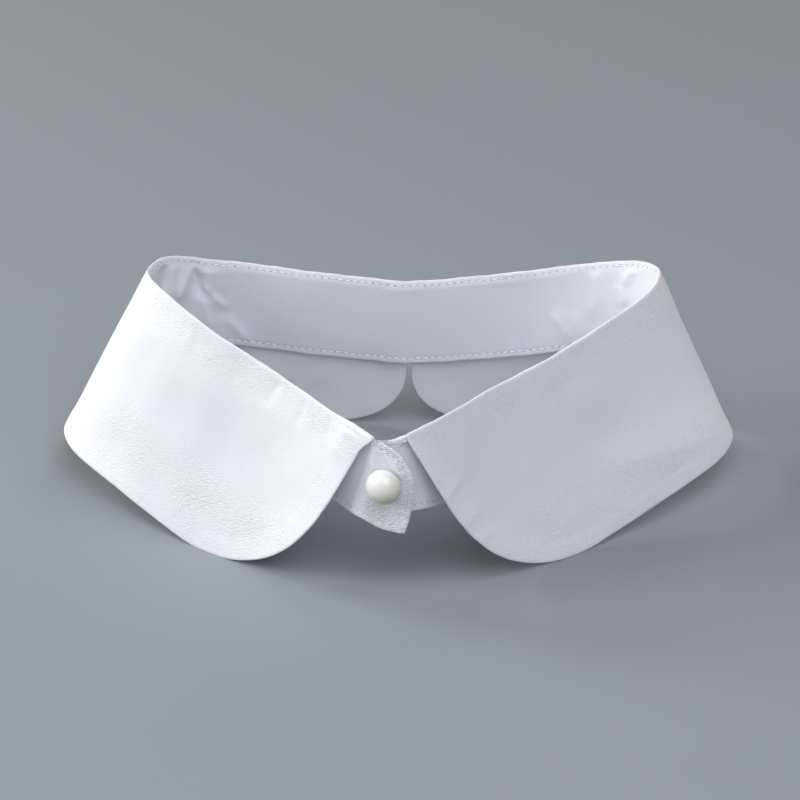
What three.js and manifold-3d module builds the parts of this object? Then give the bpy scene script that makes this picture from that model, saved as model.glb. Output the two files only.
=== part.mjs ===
// Detachable collar: a standing neck band, two rounded leaves rolled over its top edge,
// and a pearl button that closes the band's two front tabs. Millimetres, +Z up.
// It stands on the plane z = 0, with the wearer's front towards -Y.
import * as THREE from 'three';
import { mergeVertices } from 'three/addons/utils/BufferGeometryUtils.js';
import Module from 'manifold-3d';

const wasm = await Module();
wasm.setup();

// Cloth
const LEAF_WALL = 1.2;
const BAND_WALL = 1.4;
const SEAT_GAP = 0.3;

// Leaves. Along the fold is counted from centre front, down is counted from the crest.
const LEAF_DEPTH = 63;
const FRONT_CORNER_DEPTH = { right: 65.4, left: 66.9 };
const EVEN_HEM_START = 75;
const ROLL_RADIUS = 1.45;
const FRONT_START = { right: 7, left: 5.1 };
const FRONT_SLANT = { right: 0.385, left: 0.395 };
const FRONT_ROUND = { before: 41, after: 25 };
const BACK_ROUND = { before: 26, after: 26 };
const BACK_SPLAY = { right: 0, left: 0.03 };
const BACK_SPLIT_SHIFT = 2.9;
const BACK_SPLIT_GAP = 0.5;

// Neck band
const BAND_TOP_DROP = 2.15;
const TAB_TOP_DROP = 1;
const BAND_DEPTH = { front: 30.2, back: 30.4 };
const BAND_LEAN = { front: 1, right: -3, back: 4.5, left: 1.5 };
const TAB_LENGTH = 8.2;
const TAB_ROUND_WIDTH = 11;
const TAB_ROUND_DEPTH = 11.5;
const TAB_CORNER_SETBACK = 2.4;
const OVER_TAB_START = 9;
const OVER_TAB_RADIUS = 28;
const UNDER_TAB_EXTRA = 2;
const UNDER_TAB_TUCK = { near: 0.4, far: 2.3 };
const UNDER_TAB_RISE = 2.5;
const UNDER_TAB_DIP = 0.8;

// Button
const PEARL_RADIUS = 5.05;
const PEARL_BELOW_CREST = 13.6;
const PEARL_PAST_FRONT = 0.6;
const PEARL_WIDEST = 2.2;
const PEARL_FRONT = 4;
const SHANK_RADIUS = 1.2;
const SHANK_HOLE_RADIUS = 1.6;

// Sections of the right half, from centre front round to centre back. The fold is the
// crest of the roll and the hem is the lower edge of an uncut leaf. The lean is how much
// further right and up a section of the fold lies on the right side than on the left, halved.
const SECTION_COLUMNS = ['foldX', 'foldY', 'foldZ', 'hemX', 'hemY', 'hemZ', 'leanX', 'leanZ'];
const SECTIONS = [
  [0, -58.5, 57.3, 0, -76, -2.7, -1.9, 0.1],
  [7.9, -54.3, 58.8, 15, -69, -2.7, -0.8, 0.1],
  [16.8, -45.3, 58.9, 28, -56, -2.1, -0.2, 0.1],
  [26.7, -35, 59.5, 41, -42.8, -1.4, -0.2, -0.1],
  [38.2, -26.4, 61.6, 55.4, -32.4, 1, 0.2, -0.4],
  [50.7, -19.3, 66.1, 70.6, -23.6, 6.1, 0.3, -0.4],
  [62.1, -10.8, 69.8, 85.6, -13.6, 11.3, 0.7, -0.4],
  [72, 0.2, 72.1, 97.6, -1, 14, 1.3, -0.1],
  [74.1, 12, 69.9, 100.5, 14.5, 12.3, 1.5, 1.3],
  [68.5, 22, 66.9, 90.4, 29, 8.4, 0.4, 0.7],
  [57.1, 26.9, 62.9, 73.5, 36.5, 3.9, 0, 0.4],
  [43.1, 27.9, 60.4, 55, 38.5, 0.4, 0, 0.1],
  [29, 26.3, 59.4, 36.5, 37, -0.3, 0, -0.1],
  [14.5, 24.9, 58.4, 18, 35, -0.3, 0.1, -0.2],
  [0, 24.2, 57.7, 0, 34, -0.3, 0.2, 0],
].map((row) => Object.fromEntries(SECTION_COLUMNS.map((name, i) => [name, row[i]])));
const HEM_LEAN = new THREE.Vector3(0, 1.5, 0);
// The middle of the whole collar's box in the sections' own X and Y, which becomes the origin
const BOX_CENTRE = new THREE.Vector3(0.01, -12.34, 0);

// How finely the cloth is divided
const ROLL_STEPS = 4;
const FALL_STEPS = 4;
const OUTLINE_STEPS = { front: 10, hem: 42, back: 9 };
const BAND_LEVELS = [0, 0.02, 0.1, 0.22, 0.39, 0.7, 1];
const BAND_STEPS = { tab: 8, body: 76 };
const TAB_SPAN = 16;

const UP = new THREE.Vector3(0, 0, 1);
const mix = THREE.MathUtils.lerp;
const smooth = THREE.MathUtils.smoothstep;
const radians = THREE.MathUtils.degToRad;

// A closed curve through the right half's sections and their mirror images
function closedCurve(pointOf, leanOf) {
  const last = SECTIONS.length - 1;
  const right = SECTIONS.map((section, i) => pointOf(section).add(leanOf(section, i / last)));
  const left = SECTIONS.slice(1, last).map((section, i) => {
    const point = pointOf(section).sub(leanOf(section, (i + 1) / last));
    return point.setX(-point.x);
  });
  const points = [...right, ...left.reverse()].map((point) => point.sub(BOX_CENTRE));
  return new THREE.CatmullRomCurve3(points, true, 'centripetal');
}

const foldCurve = closedCurve(
  (row) => new THREE.Vector3(row.foldX, row.foldY, row.foldZ),
  (row) => new THREE.Vector3(row.leanX, 0, row.leanZ),
);
const hemCurve = closedCurve(
  (row) => new THREE.Vector3(row.hemX, row.hemY, row.hemZ),
  (row, share) => HEM_LEAN.clone().multiplyScalar(Math.sin(Math.PI * share)),
);
foldCurve.arcLengthDivisions = 2800;
const FOLD_LENGTH = foldCurve.getLength();
const BACK_CENTRE = FOLD_LENGTH * lengthShareOfBack();

// The share of the fold's length that lies on the right, from centre front to centre back
function lengthShareOfBack() {
  const lengths = foldCurve.getLengths();
  return lengths[(lengths.length - 1) / 2] / FOLD_LENGTH;
}

// Where the leaf leaves the fold at a given distance round it, and how it falls from there
function station(along) {
  const distance = ((along % FOLD_LENGTH) + FOLD_LENGTH) % FOLD_LENGTH;
  const t = foldCurve.getUtoTmapping(0, distance);
  const crest = foldCurve.getPoint(t);
  const hem = hemCurve.getPoint(t);
  const fall = hem.clone().sub(crest).normalize();
  const normal = foldCurve.getTangent(t).cross(fall).negate().normalize();
  const outward = normal.clone().setZ(0).normalize();
  const rollCentre = crest.clone().addScaledVector(UP, -ROLL_RADIUS);
  return { crest, hem, normal, outward, rollCentre, flare: Math.asin(normal.z) };
}

// A point of the leaf: on the falling part, share runs from 0 at the roll to 1 at the hem
function fallPoint(place, share, side) {
  const radius = ROLL_RADIUS - LEAF_WALL / 2 + side * LEAF_WALL / 2;
  const top = place.rollCentre.clone().addScaledVector(place.normal, radius);
  const bottom = place.hem.clone().addScaledVector(place.normal, (side - 1) * LEAF_WALL / 2);
  return top.lerp(bottom, share);
}

// A point of the roll: share runs from 0 on the band's side to 1 where the leaf falls
function rollPoint(place, share, side) {
  const angle = mix(Math.PI, place.flare, share);
  const radius = ROLL_RADIUS - LEAF_WALL / 2 + side * LEAF_WALL / 2;
  return place.rollCentre.clone()
    .addScaledVector(place.outward, radius * Math.cos(angle))
    .addScaledVector(UP, radius * Math.sin(angle));
}

// The round that joins two straight edges of a flat outline, as points from one to the other
function roundCorner(before, corner, after, reach, steps) {
  const start = before.clone().sub(corner).setLength(reach.before).add(corner);
  const end = after.clone().sub(corner).setLength(reach.after).add(corner);
  return new THREE.QuadraticBezierCurve(start, corner, end).getPoints(steps);
}

// The leaf's free outline on the flat cloth, x along the fold and y down from the crest.
// It starts where the straight front edge ends and stops where the straight back edge ends.
// The hem slopes gently from the deeper front corner to where its depth becomes even.
function leafOutline(sideName, front, back) {
  const cornerDepth = FRONT_CORNER_DEPTH[sideName];
  const frontTop = new THREE.Vector2(front, 0);
  const frontCorner = new THREE.Vector2(front + FRONT_SLANT[sideName] * cornerDepth, cornerDepth);
  const evenHem = new THREE.Vector2(EVEN_HEM_START, LEAF_DEPTH);
  const backTop = new THREE.Vector2(back, 0);
  const backCorner = new THREE.Vector2(back - BACK_SPLAY[sideName] * LEAF_DEPTH, LEAF_DEPTH);
  const frontArc = roundCorner(frontTop, frontCorner, evenHem, FRONT_ROUND, OUTLINE_STEPS.front);
  const backArc = roundCorner(evenHem, backCorner, backTop, BACK_ROUND, OUTLINE_STEPS.back);
  const hemStart = frontArc.at(-1);
  const hemEnd = backArc[0];
  const hem = Array.from({ length: OUTLINE_STEPS.hem - 1 }, (_, i) => {
    const x = mix(hemStart.x, hemEnd.x, (i + 1) / OUTLINE_STEPS.hem);
    const slope = THREE.MathUtils.clamp((x - hemStart.x) / (EVEN_HEM_START - hemStart.x), 0, 1);
    return new THREE.Vector2(x, mix(hemStart.y, LEAF_DEPTH, slope));
  });
  return { points: [...frontArc, ...hem, ...backArc], hemStart: hemStart.x, hemEnd: hemEnd.x };
}

// The place on the fold above a point of the outline, fanned out towards the leaf's ends
function foldAbove(along, outline, front, back) {
  const first = outline.points[0].x;
  const last = outline.points.at(-1).x;
  if (along < outline.hemStart) {
    return mix(front, outline.hemStart, (along - first) / (outline.hemStart - first));
  }
  if (along > outline.hemEnd) {
    return mix(outline.hemEnd, back, (along - outline.hemEnd) / (last - outline.hemEnd));
  }
  return along;
}

// A closed wall from two matching grids of points, the outer face and the inner face
function wallGeometry(outer, inner) {
  const rows = outer.length;
  const columns = outer[0].length;
  const positions = [...outer.flat(), ...inner.flat()].flatMap((p) => [p.x, p.y, Math.max(p.z, 0)]);
  const at = (face, i, j) => face * rows * columns + i * columns + j;
  const index = [];
  const quad = (a, b, c, d) => index.push(a, b, c, a, c, d);
  for (let i = 0; i + 1 < rows; i += 1) {
    for (let j = 0; j + 1 < columns; j += 1) {
      quad(at(0, i, j), at(0, i + 1, j), at(0, i + 1, j + 1), at(0, i, j + 1));
      quad(at(1, i, j), at(1, i, j + 1), at(1, i + 1, j + 1), at(1, i + 1, j));
    }
    quad(at(0, i, 0), at(1, i, 0), at(1, i + 1, 0), at(0, i + 1, 0));
    const end = columns - 1;
    quad(at(0, i, end), at(0, i + 1, end), at(1, i + 1, end), at(1, i, end));
  }
  for (let j = 0; j + 1 < columns; j += 1) {
    const end = rows - 1;
    quad(at(0, 0, j), at(0, 0, j + 1), at(1, 0, j + 1), at(1, 0, j));
    quad(at(0, end, j), at(1, end, j), at(1, end, j + 1), at(0, end, j + 1));
  }
  const geometry = new THREE.BufferGeometry();
  geometry.setAttribute('position', new THREE.Float32BufferAttribute(positions, 3));
  geometry.setIndex(index);
  return geometry;
}

// One leaf. Side is 1 for the right leaf and -1 for the left one.
function leafGeometry(side) {
  const sideName = side > 0 ? 'right' : 'left';
  const front = FRONT_START[sideName];
  const halfLength = side > 0 ? BACK_CENTRE : FOLD_LENGTH - BACK_CENTRE;
  const back = halfLength - side * BACK_SPLIT_SHIFT - BACK_SPLIT_GAP / 2;
  const outline = leafOutline(sideName, front, back);
  const columns = outline.points.map((point) => {
    const fold = foldAbove(point.x, outline, front, back);
    const top = station(side * fold);
    const roll = [];
    for (let i = 0; i < ROLL_STEPS; i += 1) {
      roll.push([1, -1].map((face) => rollPoint(top, i / ROLL_STEPS, face)));
    }
    const fall = [];
    for (let i = 0; i <= FALL_STEPS; i += 1) {
      const share = i / FALL_STEPS;
      const place = station(side * mix(fold, point.x, share));
      const down = share * point.y / LEAF_DEPTH;
      fall.push([1, -1].map((face) => fallPoint(place, down, face)));
    }
    return [...roll, ...fall];
  });
  if (side < 0) {
    columns.reverse();
  }
  const grid = (face) => columns[0].map((_, i) => columns.map((column) => column[i][face]));
  return wallGeometry(grid(0), grid(1));
}

// The band's lean from upright at a distance round the fold, as an angle outwards
function bandLean(along) {
  const { front, right, back, left } = BAND_LEAN;
  const quarters = [front, right, back, left, front, front];
  const quarter = Math.max(along, 0) / FOLD_LENGTH * 4;
  const step = Math.floor(quarter);
  return radians(mix(quarters[step], quarters[step + 1], quarter - step));
}

// How far the under tab is tucked in behind the over tab
function underTuck(along) {
  const near = UNDER_TAB_TUCK.near * smooth(-along, -14, -6);
  const far = (UNDER_TAB_TUCK.far - UNDER_TAB_TUCK.near) * smooth(-along, -6, 0);
  return near + far;
}

// The band's upright frame: the middle of its wall at crest height, and the way outwards.
// Past the start of the over tab, the band carries straight on into a wide arc.
function bandFrame(along) {
  const wallCentre = ROLL_RADIUS - LEAF_WALL / 2;
  const tabStart = FOLD_LENGTH - OVER_TAB_START;
  const place = station(Math.min(along, tabStart));
  const centre = place.crest.clone().addScaledVector(place.outward, -wallCentre - underTuck(along));
  const outward = place.outward.clone();
  if (along > tabStart) {
    const turn = (along - tabStart) / OVER_TAB_RADIUS;
    centre.addScaledVector(outward, -OVER_TAB_RADIUS);
    outward.applyAxisAngle(UP, turn);
    centre.addScaledVector(outward, OVER_TAB_RADIUS);
    centre.z = mix(centre.z, SECTIONS[0].foldZ, smooth(along, tabStart, FOLD_LENGTH));
  }
  return { centre, outward };
}

// How far the band's top edge lies below the crest: deeper where a leaf covers it, and on the
// under tab
function bandTopDrop(along) {
  const fromFront = along > FOLD_LENGTH / 2 ? along - FOLD_LENGTH : along;
  const bareRight = smooth(-fromFront, -FRONT_START.right, 2 - FRONT_START.right);
  const bareLeft = smooth(fromFront, -FRONT_START.left, 2 - FRONT_START.left);
  const dip = UNDER_TAB_DIP * smooth(-along, -6, 0);
  return mix(BAND_TOP_DROP, TAB_TOP_DROP, Math.min(bareRight, bareLeft)) + dip;
}

// How far its lower edge lies below the crest: less where the under tab narrows to its end
function bandBottomDrop(along) {
  const share = Math.sin(Math.PI * THREE.MathUtils.clamp(along / FOLD_LENGTH, 0, 1));
  const rise = UNDER_TAB_RISE * smooth(-along, -22, -6);
  return mix(BAND_DEPTH.front, BAND_DEPTH.back, share) - rise;
}

// A point on the band: share runs from 0 at its top edge to 1 at its lower edge
function bandPoint(along, share, side) {
  const { centre, outward } = bandFrame(along);
  const drop = mix(bandTopDrop(along), bandBottomDrop(along), share);
  const lean = bandLean(along);
  return centre
    .addScaledVector(outward, side * BAND_WALL / 2 + drop * Math.sin(lean))
    .addScaledVector(UP, -drop * Math.cos(lean));
}

// How far a tab reaches past centre front, at a share of its depth from the top edge
function tabReach(share) {
  const depth = share * (BAND_DEPTH.front - TAB_TOP_DROP);
  const level = TAB_LENGTH - TAB_ROUND_WIDTH;
  if (depth < TAB_ROUND_DEPTH) {
    const rise = 1 - depth / TAB_ROUND_DEPTH;
    return level + TAB_ROUND_WIDTH * Math.sqrt(1 - rise * rise);
  }
  const below = (depth - TAB_ROUND_DEPTH) / (BAND_DEPTH.front - TAB_TOP_DROP - TAB_ROUND_DEPTH);
  return TAB_LENGTH - TAB_CORNER_SETBACK * below * below;
}

// The band and its two tabs as one strip, with a tab's end shape at each end
function bandGeometry() {
  const { tab, body } = BAND_STEPS;
  const bodyEnd = FOLD_LENGTH - TAB_SPAN;
  const alongAt = (step, share) => {
    if (step < tab) {
      return mix(-tabReach(share) - UNDER_TAB_EXTRA, TAB_SPAN, step / tab);
    }
    if (step <= tab + body) {
      return mix(TAB_SPAN, bodyEnd, (step - tab) / body);
    }
    return mix(bodyEnd, FOLD_LENGTH + tabReach(share), (step - tab - body) / tab);
  };
  const steps = Array.from({ length: 2 * tab + body + 1 }, (_, i) => i);
  const grid = (side) => BAND_LEVELS.map((share) =>
    steps.map((step) => bandPoint(alongAt(step, share), share, side)));
  return wallGeometry(grid(1), grid(-1));
}

function solidOf(geometry) {
  const bare = geometry.index ? geometry.clone() : mergeVertices(geometry);
  for (const name of Object.keys(bare.attributes)) {
    if (name !== 'position') {
      bare.deleteAttribute(name);
    }
  }
  const merged = mergeVertices(bare);
  return new wasm.Manifold(new wasm.Mesh({
    numProp: 3,
    vertProperties: merged.attributes.position.array,
    triVerts: new Uint32Array(merged.index.array),
  }));
}

function geometryOf(solid) {
  const mesh = solid.getMesh();
  const geometry = new THREE.BufferGeometry();
  geometry.setAttribute('position', new THREE.BufferAttribute(mesh.vertProperties, 3));
  geometry.setIndex(new THREE.BufferAttribute(mesh.triVerts, 1));
  return geometry;
}

// Where the button sits on the over tab's outer face, with its axis pointing outwards
function buttonSeat() {
  const { centre, outward } = bandFrame(FOLD_LENGTH + PEARL_PAST_FRONT);
  const position = centre.clone()
    .addScaledVector(outward, BAND_WALL / 2 + PEARL_BELOW_CREST * Math.sin(bandLean(FOLD_LENGTH)))
    .addScaledVector(UP, -PEARL_BELOW_CREST);
  const turn = new THREE.Quaternion().setFromUnitVectors(new THREE.Vector3(0, 1, 0), outward);
  return { position, turn };
}

// The pearl and its moulded shank, turned round +Y with the pearl's flat back at y = gap.
// It is widest some way in front of its back, and a little flatter in front than a ball.
function buttonGeometry() {
  const shankEnd = -BAND_WALL - SEAT_GAP / 2;
  const profile = [new THREE.Vector2(0, shankEnd), new THREE.Vector2(SHANK_RADIUS, shankEnd)];
  profile.push(new THREE.Vector2(SHANK_RADIUS, SEAT_GAP));
  const back = Math.asin((SEAT_GAP - PEARL_WIDEST) / PEARL_RADIUS);
  const steps = 12;
  for (let i = 0; i < steps; i += 1) {
    const angle = mix(back, Math.PI / 2, i / steps);
    const depth = angle < 0 ? PEARL_RADIUS : PEARL_FRONT;
    const height = PEARL_WIDEST + depth * Math.sin(angle);
    profile.push(new THREE.Vector2(PEARL_RADIUS * Math.cos(angle), height));
  }
  profile.push(new THREE.Vector2(0, PEARL_WIDEST + PEARL_FRONT));
  return new THREE.LatheGeometry(profile, 32);
}

// The hole in the over tab that the shank passes through
function shankHole(seat) {
  const outer = 2;
  const inner = BAND_WALL + 0.2;
  const radius = SHANK_HOLE_RADIUS;
  const hole = new THREE.CylinderGeometry(radius, radius, outer + inner, 16);
  hole.translate(0, (outer - inner) / 2, 0);
  hole.applyQuaternion(seat.turn);
  hole.translate(seat.position.x, seat.position.y, seat.position.z);
  return hole;
}

function piece(name, geometry, material) {
  const mesh = new THREE.Mesh(geometry, material);
  mesh.name = name;
  return mesh;
}

const cotton = new THREE.MeshStandardMaterial({ color: 0xeef0f5, roughness: 0.9, metalness: 0 });
const pearl = new THREE.MeshStandardMaterial({ color: 0xe9e6dc, roughness: 0.25, metalness: 0 });

const seat = buttonSeat();
const band = geometryOf(solidOf(bandGeometry()).subtract(solidOf(shankHole(seat))));
const button = piece('pearl_button', buttonGeometry(), pearl);
button.position.copy(seat.position);
button.quaternion.copy(seat.turn);

const collar = new THREE.Group();
collar.add(
  piece('neck_band', band, cotton),
  piece('leaf_left', leafGeometry(-1), cotton),
  piece('leaf_right', leafGeometry(1), cotton),
  button,
);

export default collar;
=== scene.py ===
"""A detachable collar of white cotton, closed in front by a pearl button.

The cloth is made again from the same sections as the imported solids, at a much finer grain, with
its creases, seams and stitches. Lengths are in millimetres until a mesh is made, then in metres.
"""
import math

import bmesh
import bpy
import numpy as np
from mathutils import Matrix, Vector, noise
from mathutils.kdtree import KDTree


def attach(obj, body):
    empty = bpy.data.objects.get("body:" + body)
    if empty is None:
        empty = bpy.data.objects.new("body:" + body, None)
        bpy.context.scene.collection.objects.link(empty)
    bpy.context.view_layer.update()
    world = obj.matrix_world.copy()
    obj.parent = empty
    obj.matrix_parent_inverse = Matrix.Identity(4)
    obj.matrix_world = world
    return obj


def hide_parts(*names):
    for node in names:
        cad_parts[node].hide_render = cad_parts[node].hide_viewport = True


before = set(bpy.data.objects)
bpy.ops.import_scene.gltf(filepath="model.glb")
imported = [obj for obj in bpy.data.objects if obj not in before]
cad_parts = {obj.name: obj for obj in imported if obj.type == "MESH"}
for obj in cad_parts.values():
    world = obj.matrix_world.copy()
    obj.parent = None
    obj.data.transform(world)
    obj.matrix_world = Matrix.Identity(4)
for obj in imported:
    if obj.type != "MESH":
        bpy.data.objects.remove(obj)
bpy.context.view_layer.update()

MM = 0.001
UP = np.array([0.0, 0.0, 1.0])

# The cloth's real thickness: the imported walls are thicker, to hold as solids
LEAF_WALL = 0.7
BAND_WALL = 0.9

# The pressed fold over the crest is a tall half oval
FOLD_HALF_WIDTH = 0.8
FOLD_HEIGHT = 3.0
FOLD_SHIFT = 0.2
FOLD_CLOTH = 4.5
FOLD_END_DROP = 1.2

# The crest rises and falls in waves of these lengths, heights and phases
CREST_WAVES = ((31, 0.1, 0.4), (13.7, 0.07, 1.9), (6.1, 0.045, 0.7))

# The left leaf's fold ends in front in a thick, blunt roll of seam allowances
ROLL_END_LENGTH = 13
ROLL_END_BULK = 1.5
ROLL_END_REACH = 1.7
ROLL_END_WIDTH = 4
ROLL_END_DEPTH = 4.5

# Cloth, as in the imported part
PACKED_BAND_INSET = 0.85
PACKED_BAND_WALL = 1.4
LEAF_DEPTH = 63
FRONT_CORNER_DEPTH = {"right": 65.4, "left": 66.9}
EVEN_HEM_START = 75
FRONT_START = {"right": 7, "left": 5.1}
FRONT_SLANT = {"right": 0.385, "left": 0.395}
FRONT_ROUND = (41, 25)
BACK_ROUND = (26, 26)
BACK_SPLAY = {"right": 0, "left": 0.03}
BACK_SPLIT_SHIFT = 2.9
BAND_TOP_DROP = 2.15
TAB_TOP_DROP = 1
BAND_DEPTH = {"front": 30.2, "back": 30.4}
BAND_LEAN = {"front": 1, "right": -3, "back": 4.5, "left": 1.5}
TAB_LENGTH = 8.2
TAB_ROUND_WIDTH = 11
TAB_ROUND_DEPTH = 11.5
TAB_CORNER_SETBACK = 2.4
OVER_TAB_START = 9
OVER_TAB_RADIUS = 28
UNDER_TAB_EXTRA = 2
UNDER_TAB_TUCK = {"near": 0.4, "far": 2.3}
UNDER_TAB_RISE = 2.5
UNDER_TAB_DIP = 0.8
UNDER_TAB_ZONES = {"low": (-22, -6), "near": (-14, -6), "far": (-6, 0)}

# The leaves nearly meet at the crest behind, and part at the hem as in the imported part
BACK_SPLIT_GAP = {"crest": 0.06, "hem": 0.5}

# The band's top edge is wholly bare this far past a leaf's front
BARE_MARGIN = 2

# Button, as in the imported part
SEAT_GAP = 0.3
PEARL_RADIUS = 5.05
PEARL_BELOW_CREST = 13.6
PEARL_PAST_FRONT = 0.6
PEARL_WIDEST = 2.2
PEARL_FRONT = 4.0
SHANK_RADIUS = 1.2

# Sections of the right half, from centre front round to centre back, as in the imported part.
# The fold is the crest of the roll and the hem is the lower edge of an uncut leaf.
SECTION_COLUMNS = ("fold_x", "fold_y", "fold_z", "hem_x", "hem_y", "hem_z", "lean_x", "lean_z")
SECTION_ROWS = (
    (0, -58.5, 57.3, 0, -76, -2.7, -1.9, 0.1),
    (7.9, -54.3, 58.8, 15, -69, -2.7, -0.8, 0.1),
    (16.8, -45.3, 58.9, 28, -56, -2.1, -0.2, 0.1),
    (26.7, -35, 59.5, 41, -42.8, -1.4, -0.2, -0.1),
    (38.2, -26.4, 61.6, 55.4, -32.4, 1, 0.2, -0.4),
    (50.7, -19.3, 66.1, 70.6, -23.6, 6.1, 0.3, -0.4),
    (62.1, -10.8, 69.8, 85.6, -13.6, 11.3, 0.7, -0.4),
    (72, 0.2, 72.1, 97.6, -1, 14, 1.3, -0.1),
    (74.1, 12, 69.9, 100.5, 14.5, 12.3, 1.5, 1.3),
    (68.5, 22, 66.9, 90.4, 29, 8.4, 0.4, 0.7),
    (57.1, 26.9, 62.9, 73.5, 36.5, 3.9, 0, 0.4),
    (43.1, 27.9, 60.4, 55, 38.5, 0.4, 0, 0.1),
    (29, 26.3, 59.4, 36.5, 37, -0.3, 0, -0.1),
    (14.5, 24.9, 58.4, 18, 35, -0.3, 0.1, -0.2),
    (0, 24.2, 57.7, 0, 34, -0.3, 0.2, 0),
)
SECTIONS = [dict(zip(SECTION_COLUMNS, row)) for row in SECTION_ROWS]
HEM_LEAN = np.array([0.0, 1.5, 0.0])
BOX_CENTRE = np.array([0.01, -12.34, 0.0])

# How the two layers of a leaf and of the band are sewn
EDGE_ROUND = 0.5
SEAM_ALLOWANCE = 5.6
SEAM_STEP = {"left": 0.06, "right": 0.1}
BAND_WRAP_TOP = 0.35
BAND_WRAP_ROUND = 0.25
BAND_WRAP_GAP = 0.08
TOP_STITCH_DROP = 1.35
TAB_STITCH_INSET = 2.1
LOW_STITCH_INSET = 2.0
STITCH_GROOVE = 0.1
STITCH_GROOVE_WIDTH = 0.42

# Stitches, and flat dark ovals of painted shade at the needle holes between them. Start is how far
# along the pitch each one lies and lift how far it stands off the cloth. Slant, in radians, and
# unevenness are drawn at random.
STITCH_PITCH = 2.2
STITCH = {
    "Size": (1.7, 0.36, 0.3), "Start": 0, "Lift": 0.04, "Slant": 0.09, "Unevenness": 0.1, "Seed": 4,
}
NEEDLE_HOLE_SHADE = {
    "Size": (0.55, 0.38, 0.12), "Start": STITCH_PITCH / 2, "Lift": 0.03, "Slant": 0.2,
    "Unevenness": 0.3, "Seed": 9,
}

# Grain of the meshes. The band is finer in its end zones, where the columns fan out to the tabs'
# rounded ends, and in the strips with stitches.
CLOTH_STEP = 0.8
FOLD_STEPS = 24
BAND_STEP = 0.8
BAND_BODY_STEPS = 46
TAB_STEP = 0.4
TAB_ZONE = 20
TAB_FAN = 16
STITCHED_STRIP = {"top": 2.8, "low": 3}
EDGE_STEPS = (0, 0.06, 0.18, 0.36, 0.6)
OUTLINE_STEP = 0.2
ROUTE_STEP = 0.5
ROUTE_SLACK = 0.06

# Uneven waves of the cloth: the size of their grain, and how far they stand out
NOISE_GAIN = 1.6
LEAF_SWELL = {"grain": 34, "height": 0.55}
LEAF_RIPPLE = {"grain": 11, "height": 0.12}
FOLD_TUCKS = {"grain": (3.2, 6), "height": 0.09}
HEM_PUCKER = {"grain": (2.3, 7), "height": 0.07}
BAND_SWELL = {"grain": (24, 34), "height": 0.22}
TAB_CRUMPLE = {"grain": (5, 7), "height": 0.1}
BAND_PUCKER_GRAIN = (1.5, 3.2)
BAND_PUCKER_HEIGHT = {"round": 0.035, "tab": 0.13}
LEAF_SEED = {"right": 3, "left": 11}
BAND_SEED = 21

# At the back, the leaves hang close to the band before they spread to the hem. Along and down
# are where it sets in, and spread is where the hem moves away again.
BACK_HANG = {"reach": 1.6, "along": (112, 138), "down": (3, 26), "spread": (31, 61)}
HEM_SPREAD = 0.45

# Creases, in cloth millimetres. Along runs from centre front, to the left when it is below 0,
# and down from the crest. Turn is the crease's direction from along towards down, in degrees;
# near and far are how wide it is on either side, and height is how far it stands out.
CREASE_SHARPNESS = 1.35
CREASE_COLUMNS = ("along", "down", "turn", "length", "near", "far", "height")
LEAF_CREASES = {
    "left": (
        (41.8, 4.4, 75, 14, 2.4, 0.9, -0.6),
        (31, 5.2, 85, 11, 1.8, 1.0, -0.35),
        (19.5, 4, 80, 9, 1.6, 1.0, -0.25),
        (13.5, 4.5, 67, 20, 2.5, 5, 0.75),
        (55, 4, 100, 10, 1.2, 1.2, -0.2),
        (70, 3.5, 110, 9, 1, 1.2, -0.25),
        (64, 4, 80, 9, 1, 1.2, 0.2),
    ),
    "right": (
        (85, 50, 24, 60, 12, 9, 1.3),
        (22, 34, 150, 13, 1.2, 1.6, 0.25),
        (26, 41.5, 155, 13, 1.2, 1.6, 0.28),
        (19, 22, 150, 12, 1.2, 1.6, 0.22),
        (38, 5, 60, 11, 1.2, 1.5, -0.22),
        (60, 4, 110, 10, 1.2, 1.5, 0.2),
    ),
}
BAND_CREASES = (
    (267.8, 6.5, 90, 14, 1.7, 1.7, 0.9),
    (264.6, 7.5, 90, 17, 1.2, 2.2, -0.8),
    (260, 8.5, 65, 22, 1.8, 3.4, -1.4),
    (255.2, 8, 104, 17, 2.4, 1.3, 1.3),
    (252, 6.5, 94, 12, 1.8, 3.5, -0.7),
    (250.8, 12, 132, 15, 3.2, 0.9, -0.75),
    (253.6, 18, 98, 20, 3, 2.4, -1.0),
    (244, 24, 128, 15, 2.8, 1.8, -0.6),
    (135.5, 9, 90, 20, 1.4, 3.2, -0.7),
    (124.5, 4.5, 60, 9, 2, 2, -0.7),
    (126.3, 11, 104, 11, 2.2, 2.4, -0.6),
    (146, 21, 113, 15, 1.2, 2.2, -0.6),
    (140.8, 21, 105, 12, 1, 1.6, -0.4),
    (137, 16.5, 105, 10, 1, 1.5, -0.35),
    (384, 7, 52, 13, 0.9, 1.6, 0.45),
    (378.7, 6.5, 90, 14, 0.9, 1, 0.4),
)


def smooth(value, start, end):
    """0 before the start and 1 after the end, with an even change between."""
    share = np.clip((np.asarray(value, float) - start) / (end - start), 0, 1)
    return share * share * (3 - 2 * share)


def ramp(value, end):
    """0 up to 0 and 1 from the end on, with a straight change between."""
    return np.clip(value / end, 0, 1)


def mix(a, b, share):
    return a + (b - a) * share


def unit(vectors):
    return vectors / np.linalg.norm(vectors, axis=-1, keepdims=True)


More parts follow.
